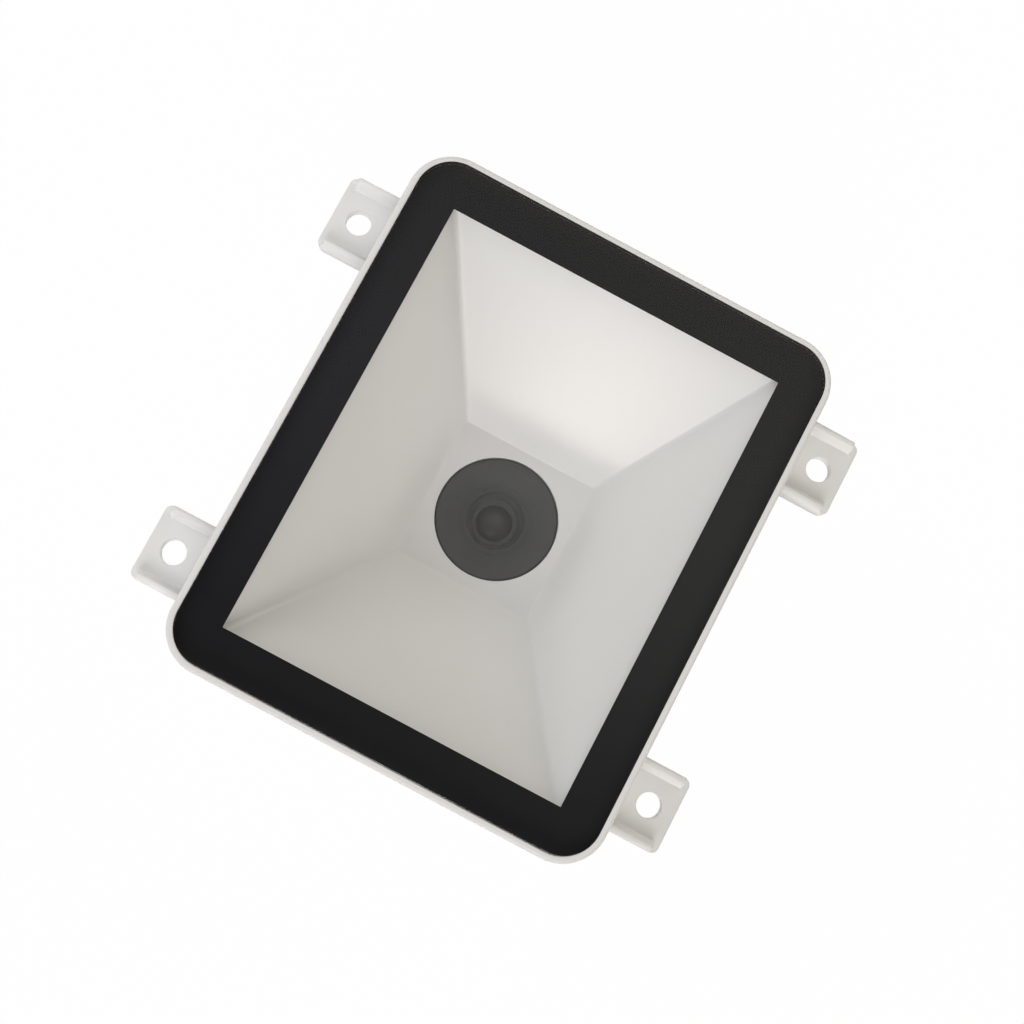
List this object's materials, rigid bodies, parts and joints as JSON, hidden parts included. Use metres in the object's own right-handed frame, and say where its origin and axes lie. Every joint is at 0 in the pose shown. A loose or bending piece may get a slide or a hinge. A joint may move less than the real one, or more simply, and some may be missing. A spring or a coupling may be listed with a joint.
{
  "type": "fixed barcode reader",
  "caption": "Fixed-mount code reader: white box housing with gusseted mounting ears, a black-bordered glass window, a white funnel light hood and a dark lens well at its floor.",
  "frame": {"origin": "centre of the rear face, on which the reader rests", "axes": "+Z out of the window, +Y along the long side of the housing, +X across the mounting ears"},
  "size_m": [0.0812, 0.0782, 0.046],
  "materials": {
    "housing_white": "fine satin moulded ABS",
    "window_glass": "clear polished",
    "print_black": "screen print behind glass",
    "tape_black": "foam tape",
    "hood_white": "semi-gloss translucent white",
    "well_black": "matte black moulding",
    "lens_glass": "coated lens",
    "sensor_dark": "sensor package",
    "board_green": "solder resist",
    "board_white": "white solder resist",
    "chip_black": "moulded chip case",
    "can_metal": "drawn metal can",
    "capacitor_tan": "ceramic body",
    "socket_ivory": "natural nylon",
    "pin_gold": "gold flash",
    "led_cream": "phosphor resin",
    "spacer_metal": "turned sleeve",
    "screw_steel": "zinc plated"
  },
  "bodies": {
    "root": {"front_housing": "housing_white", "window_glass": "window_glass", "window_print": "print_black", "window_tape": "tape_black", "diffuser_hood": "hood_white", "lens_baffle": "well_black", "lens_barrel": "well_black", "front_lens": "lens_glass", "rear_lens": "lens_glass", "lens_holder": "well_black", "ir_filter": "lens_glass", "image_sensor": "sensor_dark", "main_board": "board_green", "processor_chip": "chip_black", "memory_chip": "chip_black", "crystal": "can_metal", "capacitors": "capacitor_tan", "beeper": "chip_black", "interface_header": "socket_ivory", "interface_pins": "pin_gold", "led_board": "board_white", "leds": "led_cream", "link_socket": "chip_black", "link_header": "chip_black", "link_pins": "pin_gold", "board_spacers": "spacer_metal", "board_screws": "screw_steel", "rear_cover": "housing_white", "cover_screws": "screw_steel"}
  },
  "joints": []
}
